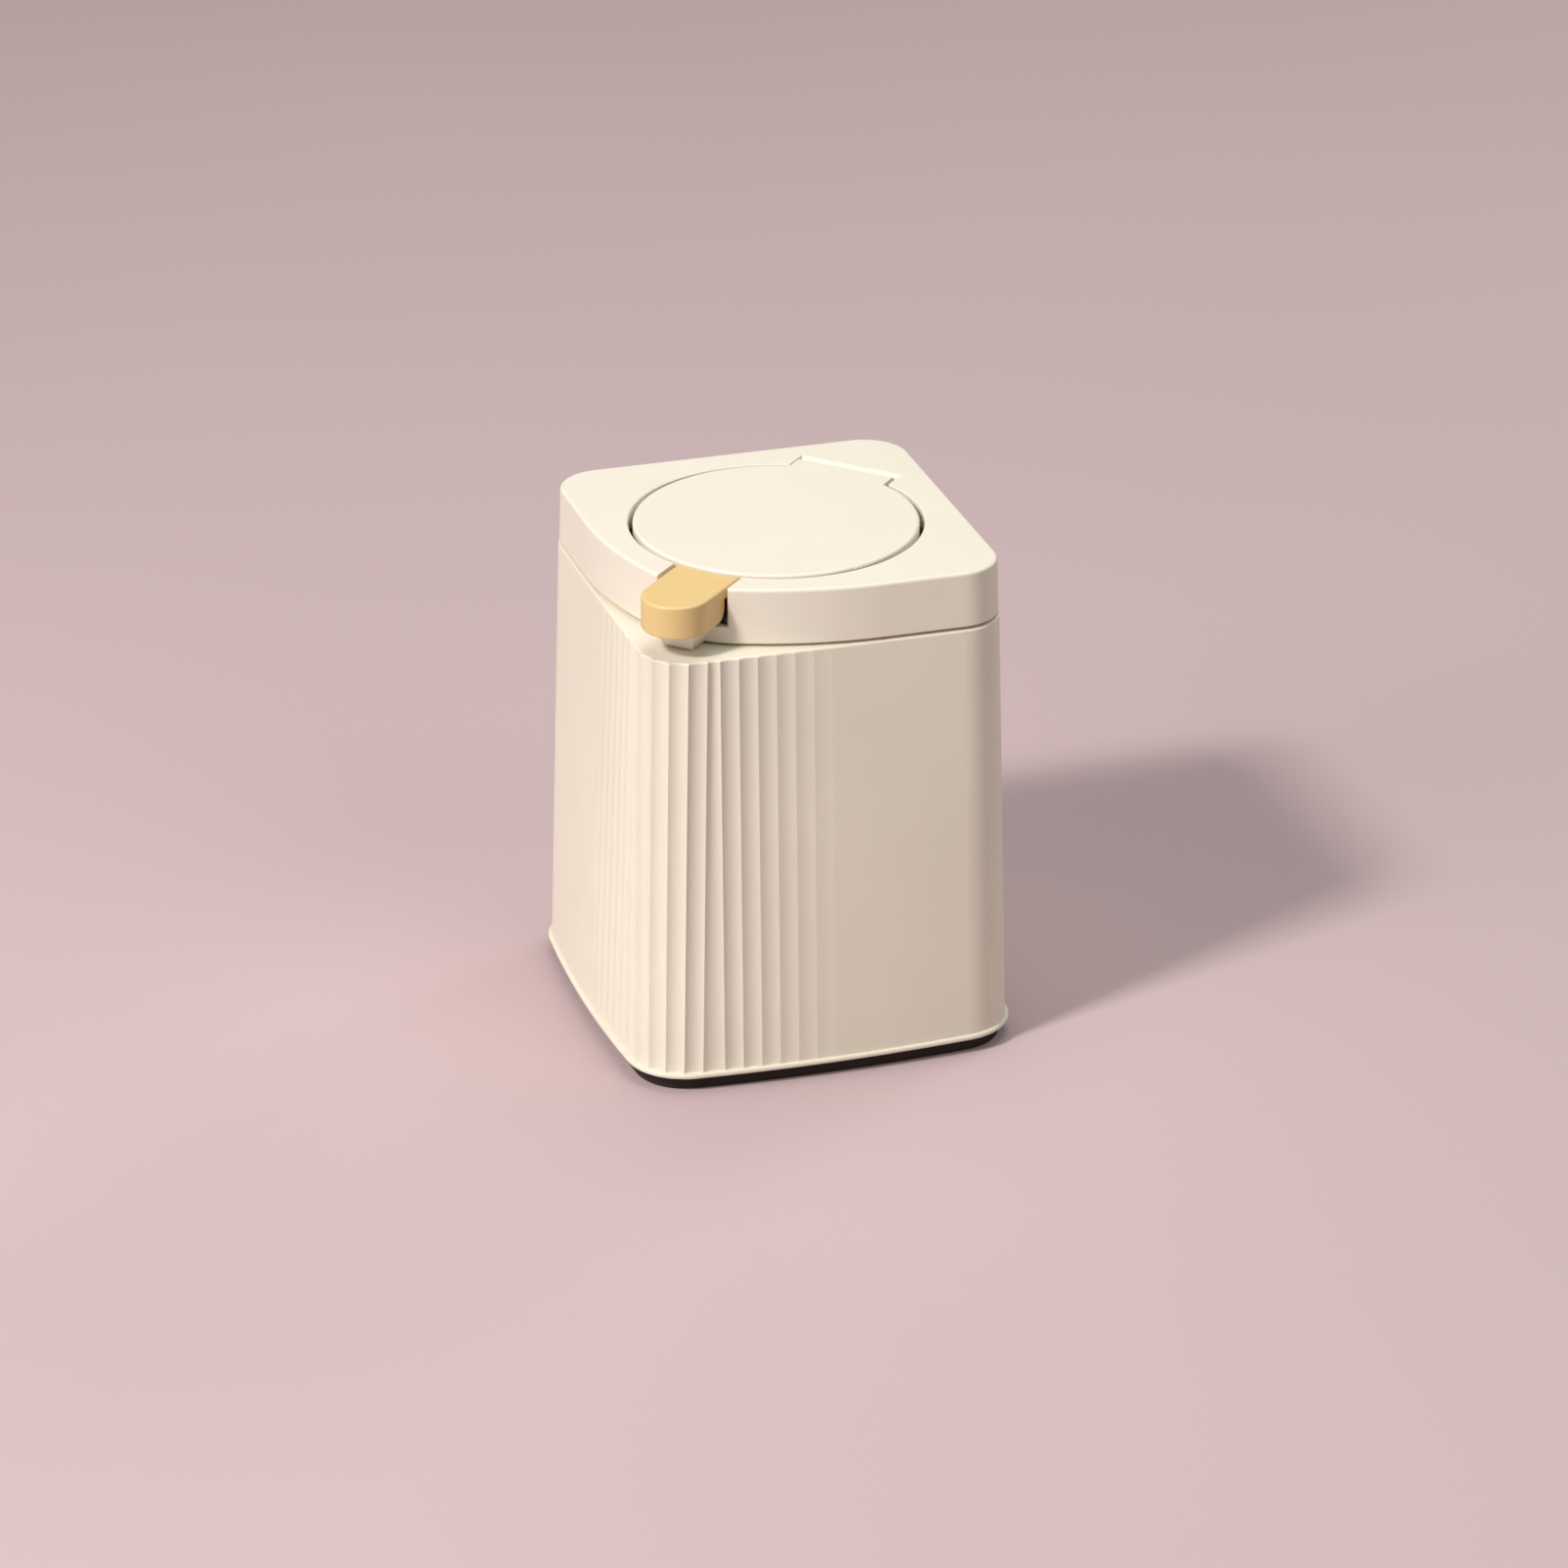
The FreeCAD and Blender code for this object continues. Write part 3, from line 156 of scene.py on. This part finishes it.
# Soft boxes: aim, direction and distance from the aim, size, power in watts, colour, spread in degrees
MIDDLE = (0.0, 0.0, 0.08)
LEFT_FOOT = (-0.062, -0.02, 0.0)
LAMPS = {
    "key": (MIDDLE, (-0.65, -0.29, 0.70), 2.4, 0.30, 41.5, (1.0, 0.965, 0.93), 180),
    "overhead": (MIDDLE, (0.25, 0.35, 2.20), 2.2417, 1.60, 23.0, (1.0, 1.0, 1.0), 180),
    "rim": (MIDDLE, (0.80, 0.45, 0.40), 1.8, 0.50, 4.0, (1.0, 0.95, 0.93), 180),
    "fill": (MIDDLE, (0.38, -0.72, 0.80), 2.2, 0.90, 6.4, (0.87, 1.0, 0.94), 180),
    "side": (MIDDLE, (-0.84, -0.34, 0.40), 2.0, 0.80, 6.3, (0.94, 1.0, 0.97), 180),
    "bounce": (LEFT_FOOT, (-0.378, -0.04, 0.02), 0.3806, 0.08, 0.012, (0.95, 0.98, 1.0), 44),
}
SURROUND_COLOUR = (1.0, 0.90, 0.80)
SURROUND_STRENGTH = 0.07


def shader_tree(name):
    """New material: its tree, its principled shader and the object coordinates in metres."""
    material = bpy.data.materials.new(name)
    material.use_nodes = True
    tree = material.node_tree
    tree.nodes.clear()
    shader = tree.nodes.new("ShaderNodeBsdfPrincipled")
    output = tree.nodes.new("ShaderNodeOutputMaterial")
    tree.links.new(shader.outputs["BSDF"], output.inputs["Surface"])
    place = tree.nodes.new("ShaderNodeTexCoord").outputs["Object"]
    return material, tree, shader, place


def noise(tree, place, size, detail=3.0, roughness=0.55):
    """Noise whose features are about this size in metres."""
    node = tree.nodes.new("ShaderNodeTexNoise")
    node.inputs["Scale"].default_value = 1 / size
    node.inputs["Detail"].default_value = detail
    node.inputs["Roughness"].default_value = roughness
    tree.links.new(place, node.inputs["Vector"])
    return node.outputs["Fac"]


def spread(tree, value, low, high):
    """Noise mapped to a range."""
    node = tree.nodes.new("ShaderNodeMapRange")
    node.inputs["From Min"].default_value = NOISE_LOW
    node.inputs["From Max"].default_value = NOISE_HIGH
    node.inputs["To Min"].default_value = low
    node.inputs["To Max"].default_value = high
    tree.links.new(value, node.inputs["Value"])
    return node.outputs["Result"]


def tint(tree, colour, factor):
    """Colour made darker or lighter by a factor that varies over the surface."""
    node = tree.nodes.new("ShaderNodeHueSaturation")
    node.inputs["Color"].default_value = (*colour, 1.0)
    tree.links.new(factor, node.inputs["Value"])
    return node.outputs["Color"]


def bump(tree, heights):
    """Normal from (height, depth in metres) pairs, stacked."""
    normal = None
    for height, depth in heights:
        node = tree.nodes.new("ShaderNodeBump")
        node.inputs["Distance"].default_value = depth
        tree.links.new(height, node.inputs["Height"])
        if normal is not None:
            tree.links.new(normal, node.inputs["Normal"])
        normal = node.outputs["Normal"]
    return normal


def moulded_plastic(name, colour, roughness, grain, depth, gloss):
    """Spark-eroded mould grain, a slow drift of tone from the pigment and patchy handling sheen."""
    material, tree, shader, place = shader_tree(name)
    drift = spread(tree, noise(tree, place, TONE_PATCH, 2.0), *TONE_RANGE)
    tree.links.new(tint(tree, colour, drift), shader.inputs["Base Color"])
    patches = noise(tree, place, SHEEN_PATCH, 4.0)
    sheen = spread(tree, patches, roughness - SHEEN_SWING, roughness + SHEEN_SWING)
    tree.links.new(sheen, shader.inputs["Roughness"])
    fine = noise(tree, place, grain, 2.0, 0.6)
    waves = noise(tree, place, WAVE_LENGTH, 1.0)
    tree.links.new(bump(tree, [(fine, depth), (waves, WAVE_DEPTH)]), shader.inputs["Normal"])
    shader.inputs["Specular IOR Level"].default_value = gloss
    return material


def rubber(name, colour):
    """Matt rubber with a dusty bloom and a fine tooth."""
    material, tree, shader, place = shader_tree(name)
    bloom = spread(tree, noise(tree, place, BLOOM_PATCH, 5.0, 0.7), *BLOOM_RANGE)
    tree.links.new(tint(tree, colour, bloom), shader.inputs["Base Color"])
    sheen = spread(tree, noise(tree, place, RUBBER_PATCH), *RUBBER_ROUGHNESS)
    tree.links.new(sheen, shader.inputs["Roughness"])
    tooth = noise(tree, place, TOOTH_SIZE)
    tree.links.new(bump(tree, [(tooth, TOOTH_DEPTH)]), shader.inputs["Normal"])
    shader.inputs["Specular IOR Level"].default_value = RUBBER_GLOSS
    return material


def metal(name, colour, roughness, squeeze):
    """Drawn or plated steel: short streaks, and a tone that varies a little."""
    material, tree, shader, place = shader_tree(name)
    shader.inputs["Metallic"].default_value = 1.0
    mapping = tree.nodes.new("ShaderNodeMapping")
    mapping.inputs["Scale"].default_value = squeeze
    tree.links.new(place, mapping.inputs["Vector"])
    grain = noise(tree, mapping.outputs["Vector"], STEEL_GRAIN, 4.0)
    tree.links.new(tint(tree, colour, spread(tree, grain, *STEEL_TONE)), shader.inputs["Base Color"])
    low, high = (roughness + swing for swing in STEEL_ROUGHNESS_SWING)
    tree.links.new(spread(tree, grain, low, high), shader.inputs["Roughness"])
    tree.links.new(bump(tree, [(grain, STEEL_GRAIN_DEPTH)]), shader.inputs["Normal"])
    return material


def make_materials():
    """One material for each slot."""
    materials = {slot: moulded_plastic(slot, *values) for slot, values in PLASTICS.items()}
    materials.update({slot: rubber(slot, colour) for slot, colour in RUBBERS.items()})
    materials.update({slot: metal(slot, *values) for slot, values in METALS.items()})
    return materials


def paint(materials):
    """Give each CAD node the material of its slot."""
    for row in frame["record"]["subparts"]:
        piece = NODES[row["node"]]
        piece.data.materials.clear()
        piece.data.materials.append(materials[row["material_slot"]])


def wire_mesh(name, path, material):
    """Spring wire along a path of points, closed at both ends."""
    mesh = bpy.data.meshes.new(name)
    radius = SPRING_WIRE / 2
    side = (path[1] - path[0]).orthogonal().normalized()
    points = []
    for k, point in enumerate(path):
        ahead = (path[min(k + 1, len(path) - 1)] - path[max(k - 1, 0)]).normalized()
        side = (side - ahead * side.dot(ahead)).normalized()
        other = ahead.cross(side)
        for step in range(WIRE_SIDES):
            turn = 2 * math.pi * step / WIRE_SIDES
            points.append(point + radius * (math.cos(turn) * side + math.sin(turn) * other))
    faces = []
    for k in range(len(path) - 1):
        low = k * WIRE_SIDES
        for step in range(WIRE_SIDES):
            after = (step + 1) % WIRE_SIDES
            faces.append((low + step, low + after, low + WIRE_SIDES + after, low + WIRE_SIDES + step))
    last = (len(path) - 1) * WIRE_SIDES
    faces.append(tuple(reversed(range(WIRE_SIDES))))
    faces.append(tuple(range(last, last + WIRE_SIDES)))
    mesh.from_pydata(points, [], faces)
    for face in mesh.polygons:
        face.use_smooth = len(face.vertices) < WIRE_SIDES
    piece = bpy.data.objects.new(name, mesh)
    bpy.context.scene.collection.objects.link(piece)
    mesh.materials.append(material)
    return piece


def make_button_spring(material):
    """Compression spring with a closed turn at each end."""
    low, high = (Vector(corner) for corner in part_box("button_spring"))
    middle = (low + high) / 2
    radius = (high.x - low.x) / 2 - SPRING_WIRE / 2
    bottom = low.z + SPRING_WIRE / 2
    rise = high.z - low.z - SPRING_WIRE
    closed = SPRING_WIRE * CLOSED_PITCH_SHARE
    open_turns = BUTTON_SPRING_TURNS - 2
    path = []
    for k in range(BUTTON_SPRING_TURNS * TURN_STEPS + 1):
        turn = k / TURN_STEPS
        lift = closed * min(turn, 1) + closed * max(turn - open_turns - 1, 0)
        active = min(max(turn - 1, 0), open_turns) / open_turns
        height = bottom + lift + (rise - 2 * closed) * active
        angle = 2 * math.pi * turn
        around = Vector((math.cos(angle), math.sin(angle), 0)) * radius
        path.append(Vector((middle.x, middle.y, height)) + around)
    piece = wire_mesh("button_spring_coil", path, material)
    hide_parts("button_spring")
    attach(piece, "lid")
    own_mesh(piece)


def make_flap_spring(material):
    """Torsion spring on the hinge pin: its coil winds between the still leg and the driven one."""
    hinge = Vector(JOINTS["flap_hinge"]["pos_m"])
    across = Vector((1, -1, 0)).normalized()
    along = Vector((1, 1, 0)).normalized()
    up = Vector((0, 0, 1))
    leg_end = math.hypot(FLAP_SPRING_RADIUS, FLAP_LEG)
    slope = math.atan2(FLAP_SPRING_RADIUS, FLAP_LEG) + math.asin(LEG_RISE / leg_end)
    turns = FLAP_SPRING_TURNS + 3 / 4 + slope / (2 * math.pi)

    def point(turn):
        angle = math.pi - 2 * math.pi * turn
        spot = hinge + across * FLAP_SPRING_HALF * (2 * turn / turns - 1)
        return spot + FLAP_SPRING_RADIUS * (along * math.cos(angle) + up * math.sin(angle))

    count = math.ceil(turns * TURN_STEPS)
    coil = [point(turns * k / count) for k in range(count + 1)]
    foot = Vector((coil[0].x, coil[0].y, hinge.z - FLAP_LEG_DROP))
    tip = coil[-1] + FLAP_LEG * (up * math.sin(slope) - along * math.cos(slope))
    still = [foot.lerp(coil[0], k / LEG_STEPS) for k in range(LEG_STEPS)]
    driven = [coil[-1].lerp(tip, (k + 1) / LEG_STEPS) for k in range(LEG_STEPS)]
    piece = wire_mesh("flap_spring_coil", still + coil + driven, material)
    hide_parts("flap_spring")
    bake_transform(piece)


def make_floor():
    """Plain pale floor that runs out of sight."""
    mesh = bpy.data.meshes.new("floor")
    corners = [(x * FLOOR_HALF, y * FLOOR_HALF, 0) for x, y in ((-1, -1), (1, -1), (1, 1), (-1, 1))]
    mesh.from_pydata(corners, [], [(0, 1, 2, 3)])
    floor = bpy.data.objects.new("floor", mesh)
    bpy.context.scene.collection.objects.link(floor)
    material, tree, shader, place = shader_tree("floor")
    drift = spread(tree, noise(tree, place, FLOOR_PATCH, 2.0), *FLOOR_TONE)
    tree.links.new(tint(tree, FLOOR_PINK, drift), shader.inputs["Base Color"])
    shader.inputs["Roughness"].default_value = FLOOR_ROUGHNESS
    shader.inputs["Specular IOR Level"].default_value = FLOOR_GLOSS
    mesh.materials.append(material)


def area_light(name, aim, way, distance, size, power, colour, spread_degrees):
    """Square soft box in some direction from the point that it is turned to."""
    lamp = bpy.data.lights.new(name, "AREA")
    lamp.size = size
    lamp.energy = power
    lamp.color = colour
    lamp.spread = math.radians(spread_degrees)
    item = bpy.data.objects.new(name, lamp)
    item.location = Vector(aim) + Vector(way).normalized() * distance
    item.rotation_euler = Vector(way).to_track_quat("Z", "Y").to_euler()
    bpy.context.scene.collection.objects.link(item)


def make_lights():
    """Soft boxes, of which the key casts the shadow to the right, in a dim warm surround."""
    for name, values in LAMPS.items():
        area_light(name, *values)
    world = bpy.data.worlds.new("surround")
    world.use_nodes = True
    backdrop = world.node_tree.nodes["Background"]
    backdrop.inputs["Color"].default_value = (*SURROUND_COLOUR, 1.0)
    backdrop.inputs["Strength"].default_value = SURROUND_STRENGTH
    bpy.context.scene.world = world


def make_camera():
    """Camera at the photograph's place and angle."""
    sin_e = math.sin(CAMERA_ELEVATION)
    cos_e = math.cos(CAMERA_ELEVATION)
    back = Vector((math.sin(CAMERA_AZIMUTH) * cos_e, -math.cos(CAMERA_AZIMUTH) * cos_e, sin_e))
    right = Vector((math.cos(CAMERA_AZIMUTH), math.sin(CAMERA_AZIMUTH), 0.0))
    up = back.cross(right)
    turn = Matrix((right, up, back)).transposed() @ Matrix.Rotation(CAMERA_ROLL, 3, "Z")
    data = bpy.data.cameras.new("camera")
    data.lens = CAMERA_LENS_MM
    data.sensor_width = SENSOR_MM
    camera = bpy.data.objects.new("camera", data)
    camera.matrix_world = Matrix.Translation(CAMERA_EYE) @ turn.to_4x4()
    bpy.context.scene.collection.objects.link(camera)
    bpy.context.scene.camera = camera


slot_materials = make_materials()
paint(slot_materials)
make_button_spring(slot_materials["steel"])
make_flap_spring(slot_materials["steel"])
make_floor()
make_lights()
make_camera()
bpy.context.scene.view_settings.view_transform = "Standard"
